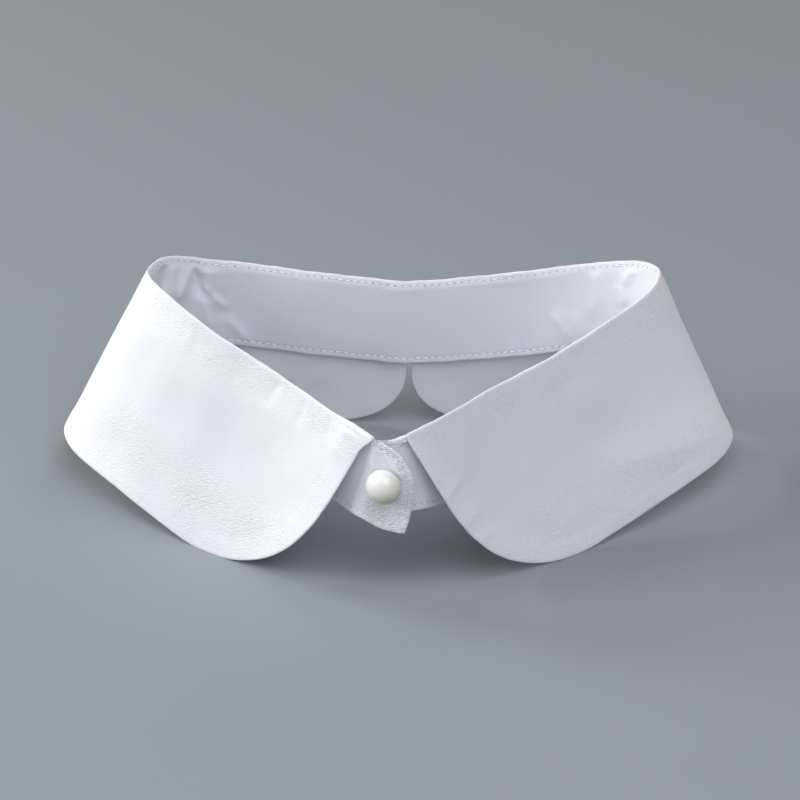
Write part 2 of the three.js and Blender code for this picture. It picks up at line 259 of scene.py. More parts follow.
class ClosedCurve:
    """A closed, centripetal Catmull-Rom curve through points."""

    DIVISIONS = 2800

    def __init__(self, points):
        self.points = np.array(points, float)
        self.shares = np.linspace(0, 1, self.DIVISIONS + 1)
        steps = np.linalg.norm(np.diff(self.at(self.shares), axis=0), axis=1)
        self.lengths = np.concatenate([[0], np.cumsum(steps)])
        self.length = self.lengths[-1]

    def at(self, share):
        count = len(self.points)
        place = np.asarray(share, float) * count
        first = np.floor(place).astype(int)
        t = (place - first)[..., None]
        p0, p1, p2, p3 = (self.points[(first + i) % count] for i in (-1, 0, 1, 2))
        gap0, gap1, gap2 = (
            np.linalg.norm(b - a, axis=-1, keepdims=True) ** 0.5
            for a, b in ((p0, p1), (p1, p2), (p2, p3))
        )
        slope1 = ((p1 - p0) / gap0 - (p2 - p0) / (gap0 + gap1) + (p2 - p1) / gap1) * gap1
        slope2 = ((p2 - p1) / gap1 - (p3 - p1) / (gap1 + gap2) + (p3 - p2) / gap2) * gap1
        square = -3 * p1 + 3 * p2 - 2 * slope1 - slope2
        cube = 2 * p1 - 2 * p2 + slope1 + slope2
        return p1 + t * (slope1 + t * (square + t * cube))

    def share_at(self, distance):
        return np.interp(distance, self.lengths, self.shares)

    def tangent(self, share):
        step = 1e-4
        return unit(self.at((share + step) % 1) - self.at((share - step) % 1))


def closed_curve(kind, lean_of):
    """The curve of the fold or the hem, through the right sections and their mirror images."""
    last = len(SECTIONS) - 1
    right, left = [], []
    for i, section in enumerate(SECTIONS):
        point = np.array([section[f"{kind}_{axis}"] for axis in "xyz"], float)
        lean = lean_of(section, i / last)
        right.append(point + lean)
        left.append((point - lean) * (-1, 1, 1))
    return ClosedCurve(np.array(right + left[last - 1:0:-1]) - BOX_CENTRE)


FOLD = closed_curve("fold", lambda row, share: np.array([row["lean_x"], 0, row["lean_z"]]))
HEM = closed_curve("hem", lambda row, share: HEM_LEAN * math.sin(math.pi * share))
FOLD_LENGTH = FOLD.length
BACK_CENTRE = FOLD.lengths[ClosedCurve.DIVISIONS // 2]


class Station:
    """Where the leaf leaves the fold at each given distance round it, and how it falls."""

    def __init__(self, along):
        share = FOLD.share_at(np.mod(along, FOLD_LENGTH))
        self.crest = FOLD.at(share) + UP * fold_waver(np.mod(along, FOLD_LENGTH))[..., None]
        self.hem = HEM.at(share)
        fall = unit(self.hem - self.crest)
        self.normal = unit(-np.cross(FOLD.tangent(share), fall))
        self.outward = unit(self.normal * (1, 1, 0))
        self.fold_centre = self.crest - UP * FOLD_HEIGHT + self.outward * FOLD_SHIFT
        flare = np.tan(np.arcsin(self.normal[..., 2]))
        self.fold_start = np.arctan(flare * FOLD_HEIGHT / FOLD_HALF_WIDTH)
        before_front = FOLD_LENGTH - FRONT_START["left"] - np.mod(along, FOLD_LENGTH)
        self.bulk = ROLL_END_BULK * (1 - smooth(before_front, 0.4 * ROLL_END_LENGTH, ROLL_END_LENGTH))

    def on_fold(self, turn, offset):
        """A point on the oval over the crest, at a turn from outwards over the top."""
        bulk = self.bulk * np.clip(1 + offset / LEAF_WALL, 0, 1)
        across = (FOLD_HALF_WIDTH + offset + bulk / 2) * np.cos(turn) - bulk / 2
        level = (FOLD_HEIGHT + offset) * np.sin(turn)
        return self.fold_centre + self.outward * across[..., None] + UP * level[..., None]


def fold_waver(along):
    """How far the crest of the fold rises and falls along it."""
    total = 0
    for length, height, start in CREST_WAVES:
        turns = round(FOLD_LENGTH / length)
        total = total + height * np.sin(2 * math.pi * turns * along / FOLD_LENGTH + start * turns)
    return total


def noise_field(x, y, grain, seed):
    """Smooth noise over the cloth, from about -1 to 1, with features of the given size."""
    across, down = grain if isinstance(grain, tuple) else (grain, grain)
    flat = [
        noise.noise(Vector((a / across, b / down, seed)))
        for a, b in zip(np.ravel(x), np.ravel(y))
    ]
    return NOISE_GAIN * np.reshape(flat, np.shape(x))


def waves(kind, x, y, seed):
    """Noise over the cloth with the grain and the height of a kind of wave."""
    return kind["height"] * noise_field(x, y, kind["grain"], seed)


def crease_height(along, down, rows):
    """How far the creases lift the cloth at each place."""
    total = np.zeros(np.shape(along))
    for row in rows:
        crease = dict(zip(CREASE_COLUMNS, row))
        turn = math.radians(crease["turn"])
        x = along - crease["along"]
        y = down - crease["down"]
        lengthways = x * math.cos(turn) + y * math.sin(turn)
        across = y * math.cos(turn) - x * math.sin(turn)
        width = np.where(across < 0, crease["near"], crease["far"])
        ends = 1 - smooth(np.abs(lengthways) / crease["length"], 0.15, 0.5)
        total += crease["height"] * ends * np.exp(-(np.abs(across / width) ** CREASE_SHARPNESS))
    return total


def edge_distance(x, y, outline):
    """The distance of each place from an outline, and how far along the outline it is."""
    steps = np.linalg.norm(np.diff(outline, axis=0), axis=1)
    lengths = np.concatenate([[0], np.cumsum(steps)])
    fine = np.linspace(0, lengths[-1], int(lengths[-1] / OUTLINE_STEP))
    points = np.stack([np.interp(fine, lengths, outline[:, i]) for i in (0, 1)], axis=-1)
    tree = KDTree(len(points))
    for i, (a, b) in enumerate(points):
        tree.insert((a, b, 0), i)
    tree.balance()
    found = [tree.find((a, b, 0)) for a, b in zip(np.ravel(x), np.ravel(y))]
    distance = np.reshape([f[2] for f in found], np.shape(x))
    place = np.reshape([fine[f[1]] for f in found], np.shape(x))
    return distance, place


def edge_thinning(distance):
    """The share of the wall's thickness that is left near a rounded edge."""
    share = ramp(distance, EDGE_ROUND)
    return np.sqrt(1 - (1 - share) ** 2)


def spaced(length, step):
    """Distances from 0 to a length, even but for finer ones at both ends."""
    ends = np.array(EDGE_STEPS)
    count = max(2, round((length - 2 * ends[-1]) / step))
    middle = np.linspace(ends[-1], length - ends[-1], count + 1)[1:-1]
    return np.concatenate([ends, middle, (length - ends)[::-1]])


# The leaves
def bezier(start, corner, end, steps):
    t = np.linspace(0, 1, steps)[:, None]
    return (1 - t) ** 2 * start + 2 * t * (1 - t) * corner + t * t * end


def round_corner(before, corner, after, reach, steps=60):
    start = corner + unit(before - corner) * reach[0]
    end = corner + unit(after - corner) * reach[1]
    return bezier(start, corner, end, steps)


class LeafPattern:
    """The leaf's free outline on the flat cloth, x along the fold and y down from the crest."""

    def __init__(self, side_name):
        half_length = BACK_CENTRE if side_name == "right" else FOLD_LENGTH - BACK_CENTRE
        shift = BACK_SPLIT_SHIFT if side_name == "right" else -BACK_SPLIT_SHIFT
        self.front = FRONT_START[side_name]
        self.back = half_length - shift - BACK_SPLIT_GAP["crest"] / 2
        depth = FRONT_CORNER_DEPTH[side_name]
        opened = (BACK_SPLIT_GAP["hem"] - BACK_SPLIT_GAP["crest"]) / 2
        back_corner_x = self.back - opened - BACK_SPLAY[side_name] * LEAF_DEPTH
        front_top = np.array([self.front, 0.0])
        front_corner = np.array([self.front + FRONT_SLANT[side_name] * depth, depth])
        even_hem = np.array([EVEN_HEM_START, LEAF_DEPTH], float)
        back_corner = np.array([back_corner_x, LEAF_DEPTH])
        back_top = np.array([self.back, 0.0])
        front_arc = round_corner(front_top, front_corner, even_hem, FRONT_ROUND)
        back_arc = round_corner(even_hem, back_corner, back_top, BACK_ROUND)
        self.hem_start = front_arc[-1][0]
        self.hem_end = back_arc[0][0]
        self.free = np.concatenate([front_arc, [even_hem], back_arc])
        self.edges = np.concatenate([[front_top], self.free, [back_top]])

    def columns(self, step):
        """Places on the free outline, and the places on the fold above them."""
        steps = np.linalg.norm(np.diff(self.free, axis=0), axis=1)
        lengths = np.concatenate([[0], np.cumsum(steps)])
        wanted = spaced(lengths[-1], step)
        x, y = (np.interp(wanted, lengths, self.free[:, i]) for i in (0, 1))
        first, last = self.free[0][0], self.free[-1][0]
        fanned_front = mix(self.front, self.hem_start, (x - first) / (self.hem_start - first))
        fanned_back = mix(self.hem_end, self.back, (x - self.hem_end) / (last - self.hem_end))
        fold = np.where(x < self.hem_start, fanned_front, x)
        return x, y, np.where(x > self.hem_end, fanned_back, fold)


def leaf_relief(x, y, side_name, pattern):
    """How far the whole cloth moves out of its plain fall, how far its face is raised, and the
    share of its thickness that is left."""
    distance, place = edge_distance(x, y, pattern.edges)
    seed = LEAF_SEED[side_name]
    below_roll = smooth(y, 1, 14)
    off_hem = smooth(distance, 0, 9)
    swell = waves(LEAF_SWELL, x, y, seed) * below_roll * mix(0.3, 1, off_hem)
    ripple = waves(LEAF_RIPPLE, x, y, seed + 1) * mix(0.3, 1, below_roll)
    by_fold = smooth(y, 0.3, 3) * (1 - smooth(y, 6, 12))
    tucks = waves(FOLD_TUCKS, x, y, seed + 5) * by_fold
    creased = crease_height(x, y, LEAF_CREASES[side_name]) * smooth(y, 0, 2)
    drawn_in = smooth(x, *BACK_HANG["along"]) * smooth(y, *BACK_HANG["down"])
    hang = BACK_HANG["reach"] * drawn_in * (1 - HEM_SPREAD * smooth(y, *BACK_HANG["spread"]))
    moved = swell + ripple + tucks + creased - hang
    by_seam = smooth(distance, 0.8, 4.5) * (1 - smooth(distance, 5.5, 8.5))
    pucker = waves(HEM_PUCKER, place, distance, seed + 2) * by_seam
    step_start, step_end = SEAM_ALLOWANCE - 0.6, SEAM_ALLOWANCE + 0.5
    ridge = SEAM_STEP[side_name] * (1 - smooth(distance, step_start, step_end))
    off_roll = smooth(y, 2, 7)
    raised = (ridge + pucker) * off_roll
    return moved, raised, mix(1, edge_thinning(distance), off_roll)


FOLD_END_TURN = math.pi - math.asin(1 - FOLD_END_DROP / FOLD_HEIGHT)


def leaf_point(along, down, offset):
    """A point of the leaf. The offset is outwards from its outer face, and down is negative
    where the cloth turns over the crest and ends under the band's top edge."""
    place = Station(along)
    share = np.clip(down / LEAF_DEPTH, 0, None)[..., None]
    top = place.on_fold(place.fold_start, offset)
    fallen = mix(top, place.hem + place.normal * offset[..., None], share)
    folded = place.on_fold(mix(place.fold_start, FOLD_END_TURN, -down / FOLD_CLOTH), offset)
    return np.where(down[..., None] >= 0, fallen, folded)


def make_leaf(side_name, finish):
    side = 1 if side_name == "right" else -1
    pattern = LeafPattern(side_name)
    hem_x, hem_y, fold = pattern.columns(CLOTH_STEP)
    share = 1 - spaced(LEAF_DEPTH, CLOTH_STEP)[::-1, None] / LEAF_DEPTH
    rolls = np.linspace(-FOLD_CLOTH, 0, FOLD_STEPS + 1)[:-1]
    x = np.concatenate([np.tile(fold, (len(rolls), 1)), mix(fold, hem_x, share)])
    y = np.concatenate([np.tile(rolls[:, None], (1, len(fold))), share * hem_y])
    if side < 0:
        at_end = 1 - smooth(x - pattern.front, 0, ROLL_END_WIDTH)
        x = x - ROLL_END_REACH * at_end * (1 - ramp(y, ROLL_END_DEPTH))
    moved, raised, thinning = leaf_relief(x, np.maximum(y, 0), side_name, pattern)
    half_wall = LEAF_WALL / 2 * thinning
    distance, _ = edge_distance(x, y, pattern.edges)
    near_fold = 1 - smooth(y, 5, 17)
    low = smooth(y, 30, 46) * smooth(x, 20, 34) * (1 - smooth(x, 100, 125))
    coarse = np.maximum(np.maximum(near_fold, low), 0.7 * (1 - smooth(distance, 3, 10)))
    outer = leaf_point(side * x, y, moved + half_wall - LEAF_WALL / 2 + raised)
    inner = leaf_point(side * x, y, moved - half_wall - LEAF_WALL / 2 - 0.5 * raised)
    for face in (outer, inner):
        face[..., 2] = np.maximum(face[..., 2], 0)
    if side < 0:
        grids = (x, y, outer, inner, coarse)
        x, y, outer, inner, coarse = (np.flip(grid, axis=1) for grid in grids)
    return cloth_piece(f"leaf_{side_name}_cloth", outer, inner, x * side, y, coarse, finish)


def cloth_piece(name, outer, inner, x, y, coarse, finish):
    """A closed wall of cloth from matching grids of points, with the cloth's own UV map and
    how coarse its weave looks at each point."""
    rows, columns = x.shape
    face = np.arange(rows * columns).reshape(rows, columns)
    back = face + rows * columns

    def quads(a, b, c, d):
        return np.stack([np.ravel(part) for part in (a, b, c, d)], axis=-1)

    polygons = np.concatenate([
        quads(face[:-1, :-1], face[1:, :-1], face[1:, 1:], face[:-1, 1:]),
        quads(back[:-1, :-1], back[:-1, 1:], back[1:, 1:], back[1:, :-1]),
        quads(face[:-1, 0], back[:-1, 0], back[1:, 0], face[1:, 0]),
        quads(face[:-1, -1], face[1:, -1], back[1:, -1], back[:-1, -1]),
        quads(face[0, :-1], face[0, 1:], back[0, 1:], back[0, :-1]),
        quads(face[-1, :-1], back[-1, :-1], back[-1, 1:], face[-1, 1:]),
    ])
    points = np.concatenate([outer.reshape(-1, 3), inner.reshape(-1, 3)]) * MM
    mesh = bpy.data.meshes.new(name)
    mesh.from_pydata(points.tolist(), [], polygons.tolist())
    flat = np.stack([np.ravel(x), np.ravel(y)], axis=-1) * MM
    corners = np.array([loop.vertex_index for loop in mesh.loops]) % (rows * columns)
    mesh.uv_layers.new(name="cloth").data.foreach_set("uv", flat[corners].ravel())
    mesh.attributes.new("coarse", "FLOAT", "POINT")
    mesh.attributes["coarse"].data.foreach_set("value", np.tile(np.ravel(coarse), 2))
    weld(mesh)
    mesh.materials.append(finish)
    return add_object(name, mesh)


def weld(mesh):
    """Joins the two faces of a wall where they meet at its edges."""
    grid = bmesh.new()
    grid.from_mesh(mesh)
    bmesh.ops.remove_doubles(grid, verts=grid.verts, dist=1e-7)
    for polygon in grid.faces:
        polygon.smooth = True
    grid.to_mesh(mesh)
    grid.free()


def add_object(name, data):
    piece = bpy.data.objects.new(name, data)
    bpy.context.scene.collection.objects.link(piece)
    return piece


# The neck band
def band_lean(along):
    front, right, back, left = (BAND_LEAN[name] for name in ("front", "right", "back", "left"))
    quarter = np.clip(along, 0, None) / FOLD_LENGTH * 4
    return np.radians(np.interp(quarter, range(6), (front, right, back, left, front, front)))


def under_tuck(along):
    """How far the under tab is tucked in behind the over tab."""
    near, far = UNDER_TAB_TUCK["near"], UNDER_TAB_TUCK["far"]
    first = near * smooth(-along, *UNDER_TAB_ZONES["near"])
    return first + (far - near) * smooth(-along, *UNDER_TAB_ZONES["far"])


def band_frame(along):
    """The middle of the band's wall at crest height, and the way outwards."""
    tab_start = FOLD_LENGTH - OVER_TAB_START
    place = Station(np.minimum(along, tab_start))
    under_fold = FOLD_HALF_WIDTH - LEAF_WALL / 2 - FOLD_SHIFT
    inward = mix(under_fold, PACKED_BAND_INSET, bareness(along, 10)) + under_tuck(along)
    centre = place.crest - place.outward * inward[..., None]
    turn = np.clip((along - tab_start) / OVER_TAB_RADIUS, 0, None)
    cos, sin = np.cos(turn), np.sin(turn)
    x, y = place.outward[..., 0], place.outward[..., 1]
    outward = np.stack([x * cos - y * sin, x * sin + y * cos, 0 * x], axis=-1)
    centre = centre + (outward - place.outward) * OVER_TAB_RADIUS
    level = smooth(along, tab_start, FOLD_LENGTH)
    centre[..., 2] = mix(centre[..., 2], SECTIONS[0]["fold_z"], level)
    return centre, outward, place


def bareness(along, reach=2):
    """1 on the front tabs, where no leaf covers the band's top edge, and 0 elsewhere."""
    starts = {name: BARE_MARGIN - start for name, start in FRONT_START.items()}
    right = smooth(-along, starts["right"] - reach, starts["right"])
    left = smooth(along - FOLD_LENGTH, starts["left"] - reach, starts["left"])
    return np.maximum(right, left)


def band_top_drop(along):
    """How far the top edge lies below the crest: on the tabs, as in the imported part."""
    right, left = FRONT_START["right"], FRONT_START["left"]
    over_right = smooth(along - FOLD_LENGTH, right - BARE_MARGIN, right)
    under_left = smooth(-along, left - BARE_MARGIN, left)
    beyond = (BAND_TOP_DROP - TAB_TOP_DROP) * np.maximum(over_right, under_left)
    dip = UNDER_TAB_DIP * smooth(-along, *UNDER_TAB_ZONES["far"])
    return mix(BAND_WRAP_TOP, TAB_TOP_DROP, bareness(along)) + beyond + dip


def band_bottom_drop(along):
    share = np.sin(math.pi * np.clip(along / FOLD_LENGTH, 0, 1))
    rise = UNDER_TAB_RISE * smooth(-along, *UNDER_TAB_ZONES["low"])
    return mix(BAND_DEPTH["front"], BAND_DEPTH["back"], share) - rise


def tab_reach(share):
    """How far a tab reaches past centre front, at a share of its depth from the top edge."""
    full = BAND_DEPTH["front"] - TAB_TOP_DROP
    depth = share * full
    rise = 1 - np.minimum(depth / TAB_ROUND_DEPTH, 1)
    rounded = TAB_LENGTH - TAB_ROUND_WIDTH * (1 - np.sqrt(1 - rise * rise))
    below = np.clip((depth - TAB_ROUND_DEPTH) / (full - TAB_ROUND_DEPTH), 0, None)
    return rounded - TAB_CORNER_SETBACK * below * below


def band_edge(share, along):
    return mix(band_top_drop(along), band_bottom_drop(along), share)


def band_outline():
    """The band's closed outline on the flat cloth, as along and drop."""
    share = np.linspace(0, 1, 160)
    start = -tab_reach(share) - UNDER_TAB_EXTRA
    end = FOLD_LENGTH + tab_reach(share)
    top = np.linspace(start[0], end[0], 900)
    bottom = np.linspace(end[-1], start[-1], 900)
    along = np.concatenate([top, end, bottom, start[::-1]])
    level = np.concatenate([0 * top, share, 0 * bottom + 1, share[::-1]])
    return np.stack([along, band_edge(level, along)], axis=-1)


def stitch_route():
    """Where the stitches run round the band, as along and drop, inside its outline."""
    outline = band_outline()
    bare = bareness(outline[:, 0])
    middle = (band_top_drop(outline[:, 0]) + band_bottom_drop(outline[:, 0])) / 2
    top_inset = mix(TOP_STITCH_DROP - BAND_WRAP_TOP, TAB_STITCH_INSET, bare)
    inset = np.where(outline[:, 1] < middle, top_inset, LOW_STITCH_INSET)
    inset = mix(inset, TAB_STITCH_INSET, bare)
    ahead = np.roll(outline, -1, axis=0) - np.roll(outline, 1, axis=0)
    inward = unit(np.stack([-ahead[:, 1], ahead[:, 0]], axis=-1))
    route = outline + inward * inset[:, None]
    distance, _ = edge_distance(route[:, 0], route[:, 1], outline)
    route = route[distance > inset - ROUTE_SLACK]
    route = np.concatenate([route, route[:1]])
    lengths = np.concatenate([[0], np.cumsum(np.linalg.norm(np.diff(route, axis=0), axis=1))])
    places = np.linspace(0, lengths[-1], int(lengths[-1] / ROUTE_STEP))[:-1]
    route = np.stack([np.interp(places, lengths, route[:, i]) for i in (0, 1)], axis=-1)
    return sum(np.roll(route, shift, axis=0) for shift in (-2, -1, 0, 1, 2)) / 5


def band_relief(along, drop, outline, route):
    """How far the whole cloth moves out of its plain place, how deep the stitches draw it in,
    and the share of its thickness that is left."""
    distance, place = edge_distance(along, drop, outline)
    from_stitches, _ = edge_distance(along, drop, np.concatenate([route, route[:1]]))
    bare = bareness(along)
    groove = STITCH_GROOVE * np.exp(-((from_stitches / STITCH_GROOVE_WIDTH) ** 2))
    swell = waves(BAND_SWELL, along, drop, BAND_SEED) * smooth(distance, 0, 8)
    creased = crease_height(along, drop, BAND_CREASES) * mix(smooth(drop, 1.5, 4), 1, bare)
    strip = 1 - smooth(distance, 2.2, 4)
    pucker = noise_field(place, distance, BAND_PUCKER_GRAIN, BAND_SEED + 16) * strip
    pucker = pucker * mix(BAND_PUCKER_HEIGHT["round"], BAND_PUCKER_HEIGHT["tab"], bare)
    crumple = waves(TAB_CRUMPLE, along, drop, BAND_SEED + 20) * bare
    moved = swell + creased + pucker + crumple
    top_edge = (1 - bare) * (1 - smooth(drop, 3, 6))
    thinning = mix(edge_thinning(distance), 1, top_edge)
    return moved, groove, thinning


def band_point(along, drop, offset, side):
    """A point on one face of the band: side is 1 outside and -1 inside, and the offset is
    outwards from that face's plain place."""
    centre, outward, place = band_frame(along)
    lean = band_lean(along)
    below_fold = np.clip(drop - FOLD_HEIGHT, 0, None)
    reach = side * BAND_WALL / 2 + below_fold * np.sin(lean) + offset
    level = drop - below_fold * (1 - np.cos(lean))
    plain = centre + outward * reach[..., None] - UP * level[..., None]
    covered = (1 - bareness(along))[..., None]
    in_fold = FOLD_HALF_WIDTH - LEAF_WALL / 2 - side * BAND_WALL / 2 - offset
    if side < 0:
        edge = smooth(drop, BAND_WRAP_TOP, BAND_WRAP_TOP + BAND_WRAP_ROUND)
        in_fold = mix(FOLD_HALF_WIDTH - BAND_WRAP_GAP - offset, in_fold, edge)
    height = np.clip(1 - drop / FOLD_HEIGHT, -1, 1)
    across = -in_fold * np.sqrt(1 - height * height)
    wrapped = place.fold_centre + place.outward * across[..., None]
    wrapped = wrapped + UP * (height * FOLD_HEIGHT)[..., None]
    in_wrap = (drop < FOLD_HEIGHT)[..., None] * covered
    return mix(plain, wrapped, in_wrap)


def band_face(along, drop, relief, side):
    """A face of the finished band, with the creases, the stitches' groove and thinner edges."""
    moved, groove, thinning = relief
    sunk = groove + BAND_WALL / 2 * (1 - thinning)
    return band_point(along, drop, moved - side * sunk, side)


def make_band(finish, outline, route):
    height = BAND_DEPTH["front"] - BAND_WRAP_TOP
    top = np.arange(0, STITCHED_STRIP["top"], 0.2)
    body = np.linspace(STITCHED_STRIP["top"], height - STITCHED_STRIP["low"], BAND_BODY_STEPS)
    low = np.concatenate([EDGE_STEPS, np.arange(0.85, STITCHED_STRIP["low"], 0.25)])
    low = (height - low)[::-1]
    share = (np.concatenate([top, body, low]) / height)[:, None]
    start = -tab_reach(share) - UNDER_TAB_EXTRA
    end = FOLD_LENGTH + tab_reach(share)
    tab = np.concatenate([EDGE_STEPS, np.arange(1, TAB_ZONE, TAB_STEP)])
    full = FOLD_LENGTH + 2 * TAB_LENGTH + UNDER_TAB_EXTRA
    middle = np.linspace(TAB_ZONE, full - TAB_ZONE, round((full - 2 * TAB_ZONE) / BAND_STEP))
    place = np.concatenate([tab, middle, (full - tab)[::-1]])
    near = 1 - ramp(place, TAB_FAN)
    far = 1 - ramp(place[-1] - place, TAB_FAN)
    plain = place - TAB_LENGTH - UNDER_TAB_EXTRA
    along = plain + near * (start + TAB_LENGTH + UNDER_TAB_EXTRA)
    along = along + far * (end - FOLD_LENGTH - TAB_LENGTH)
    drop = band_edge(share, along)
    relief = band_relief(along, drop, outline, route)
    outer, inner = (band_face(along, drop, relief, side) for side in (1, -1))
    distance, _ = edge_distance(along, drop, outline)
    on_tab = np.maximum(1 - smooth(distance, 2, 4), smooth(drop, 16, 24)) * bareness(along, 8)
    coarse = mix(0.12, 2.8, on_tab) + 0.3 * (1 - smooth(distance, 1, 4)) * (1 - on_tab)
    return cloth_piece("neck_band_cloth", outer, inner, along, drop, coarse, finish)


# Node trees
class Nodes:
    """Short ways to add and join nodes."""

    def __init__(self, tree):
        self.tree = tree

    def feed(self, node, inputs):
        """Gives each named input a value, an output of another node or that node's first one."""
        for name, value in inputs.items():
            if isinstance(value, bpy.types.Node):
                value = value.outputs[0]
            if isinstance(value, bpy.types.NodeSocket):
                self.tree.links.new(value, node.inputs[name])
            else:
                node.inputs[name].default_value = value

    def add(self, kind, inputs=None, **settings):
        node = self.tree.nodes.new(kind)
        for name, value in settings.items():
            setattr(node, name, value)
        self.feed(node, inputs or {})
        return node

    def math(self, operation, *terms):
        return self.add("ShaderNodeMath", dict(enumerate(terms)), operation=operation)

    def vector_math(self, operation, *terms):
        return self.add("ShaderNodeVectorMath", dict(enumerate(terms)), operation=operation)

    def scaled(self, vector, amount):
        return self.add("ShaderNodeVectorMath", {0: vector, "Scale": amount}, operation="SCALE")

    def attribute(self, name, kind):
        return self.add("GeometryNodeInputNamedAttribute", {"Name": name}, data_type=kind)

    def noise(self, place, scale, detail):
        return self.add("ShaderNodeTexNoise", {"Vector": place, "Scale": scale, "Detail": detail})

    def tint(self, share, first, second):
        """A colour between two others, each a colour or another node's output."""
        ends = [(*end, 1) if isinstance(end, tuple) else end for end in (first, second)]
        node = self.add("ShaderNodeMix", {0: share, 6: ends[0], 7: ends[1]}, data_type="RGBA")
        return node.outputs[2]

    def random_value(self, centre, spread, seed):
        """A random number for each point, up to the spread to either side of the centre."""
        low, high = (self.math(way, centre, spread) for way in ("SUBTRACT", "ADD"))
        inputs = {2: low, 3: high, "Seed": seed}
        return self.add("FunctionNodeRandomValue", inputs, data_type="FLOAT").outputs[1]


def new_sockets(tree, way, kinds):
    for label, kind in kinds.items():
        tree.interface.new_socket(label, in_out=way, socket_type=f"NodeSocket{kind}")


# The stitches
def sewn_paths(outline, route, on_tabs):
    """The stitch route on both faces of the band, as a wire that carries the way off the cloth
    and whether the path is sewn there: everywhere, or only off the tabs."""
    along, drop = route.T
    step = ROUTE_STEP / 2
    points, ways = [], []
    for side in (1, -1):

        def face(along, drop):
            return band_face(along, drop, band_relief(along, drop, outline, route), side)

        lengthways = face(along + step, drop) - face(along - step, drop)
        downwards = face(along, drop + step) - face(along, drop - step)
        way = unit(np.cross(lengthways, downwards))
        outward = band_frame(along)[1] * side
        points.append(face(along, drop))
        ways.append(way * np.sign(np.sum(way * outward, axis=-1, keepdims=True)))
    count = len(route)
    wires = [(first + i, first + (i + 1) % count) for first in (0, count) for i in range(count)]
    sewn = np.where(on_tabs | (bareness(along, 6) < 0.5), 1.0, 0.0)
    mesh = bpy.data.meshes.new("sewn_paths")
    mesh.from_pydata((np.concatenate(points) * MM).tolist(), wires, [])
    mesh.attributes.new("off_cloth", "FLOAT_VECTOR", "POINT")
    mesh.attributes["off_cloth"].data.foreach_set("vector", np.concatenate(ways).ravel())
    mesh.attributes.new("sewn", "FLOAT", "POINT")
    mesh.attributes["sewn"].data.foreach_set("value", np.tile(sewn, 2))
    return mesh


STITCH_INPUTS = {
    "Paths": "Geometry", "Pitch": "Float", "Start": "Float", "Size": "Vector", "Lift": "Float",
    "Slant": "Float", "Unevenness": "Float", "Seed": "Int", "Finish": "Material",
}


def stitch_tree():
    """Repeats a small oval along wires, each one turned to the wire and to the cloth's face."""
    tree = bpy.data.node_groups.new("Stitches along a path", "GeometryNodeTree")
    new_sockets(tree, "INPUT", STITCH_INPUTS)
    new_sockets(tree, "OUTPUT", {"Stitches": "Geometry"})
    nodes = Nodes(tree)
    given = nodes.add("NodeGroupInput").outputs

    wire = nodes.add("GeometryNodeMeshToCurve", {"Mesh": given["Paths"]})
    spacing = {"Curve": wire, "Length": given["Pitch"]}
    places = nodes.add("GeometryNodeCurveToPoints", spacing, mode="LENGTH")
    ahead = places.outputs["Tangent"]
    off_cloth = nodes.attribute("off_cloth", "FLOAT_VECTOR")
    forward = nodes.scaled(ahead, given["Start"])
    upward = nodes.scaled(off_cloth, given["Lift"])
    shift = nodes.vector_math("ADD", forward, upward)
    shifted = nodes.add("GeometryNodeSetPosition", {"Geometry": places, "Offset": shift})

    oval = nodes.add("GeometryNodeMeshUVSphere", {"Segments": 6, "Rings": 5, "Radius": 0.5})
    shaded = nodes.add("GeometryNodeSetShadeSmooth", {"Geometry": oval})

    along = nodes.add("FunctionNodeAlignRotationToVector", {"Vector": ahead}, axis="X")
    face = {"Rotation": along, "Vector": off_cloth}
    facing = nodes.add("FunctionNodeAlignRotationToVector", face, axis="Z", pivot_axis="X")
    slant = nodes.random_value(0, given["Slant"], given["Seed"])
    tilt = nodes.add("ShaderNodeCombineXYZ", {"Z": slant})
    turn = nodes.add("FunctionNodeEulerToRotation", {"Euler": tilt})
    turned = {"Rotation": facing, "Rotate By": turn}
    slanted = nodes.add("FunctionNodeRotateRotation", turned, rotation_space="LOCAL")
    size = nodes.scaled(given["Size"], nodes.random_value(1, given["Unevenness"], given["Seed"]))

    sewn = nodes.math("GREATER_THAN", nodes.attribute("sewn", "FLOAT"), 0.5)
    each = {"Points": shifted, "Selection": sewn, "Instance": shaded, "Rotation": slanted}
    repeated = nodes.add("GeometryNodeInstanceOnPoints", {**each, "Scale": size})
    real = nodes.add("GeometryNodeRealizeInstances", {"Geometry": repeated})
    finish = {"Geometry": real, "Material": given["Finish"]}
    finished = nodes.add("GeometryNodeSetMaterial", finish)
    nodes.add("NodeGroupOutput", {"Stitches": finished})
    return tree


def sew(name, tree, paths, shape, finish):
    """A plain mesh of the tree's ovals along the paths. The shape is in millimetres."""
    values = {**shape, "Pitch": STITCH_PITCH, "Finish": finish}
    for label in ("Pitch", "Start", "Lift"):
        values[label] *= MM
    values["Size"] = [side * MM for side in shape["Size"]]
    wire = add_object("wire", paths)
    modifier = wire.modifiers.new("stitches", "NODES")
    modifier.node_group = tree
    sockets = {item.name: item.identifier for item in tree.interface.items_tree}
    for label, value in values.items():
        modifier[sockets[label]] = value
    graph = bpy.context.evaluated_depsgraph_get()
    mesh = bpy.data.meshes.new_from_object(wire.evaluated_get(graph), depsgraph=graph)
    wire.modifiers.clear()
    bpy.data.objects.remove(wire)
    mesh.name = name
    return add_object(name, mesh)


# Materials
# The weave's coarseness, and its sizes in metres
WEAVE_INPUTS = {
    "Coarse": 0.3, "Thread width": 0.0004, "Weft length": 0.0015, "Warp length": 0.0011,
    "Speck size": 0.0004, "Patch size": 0.012,
}
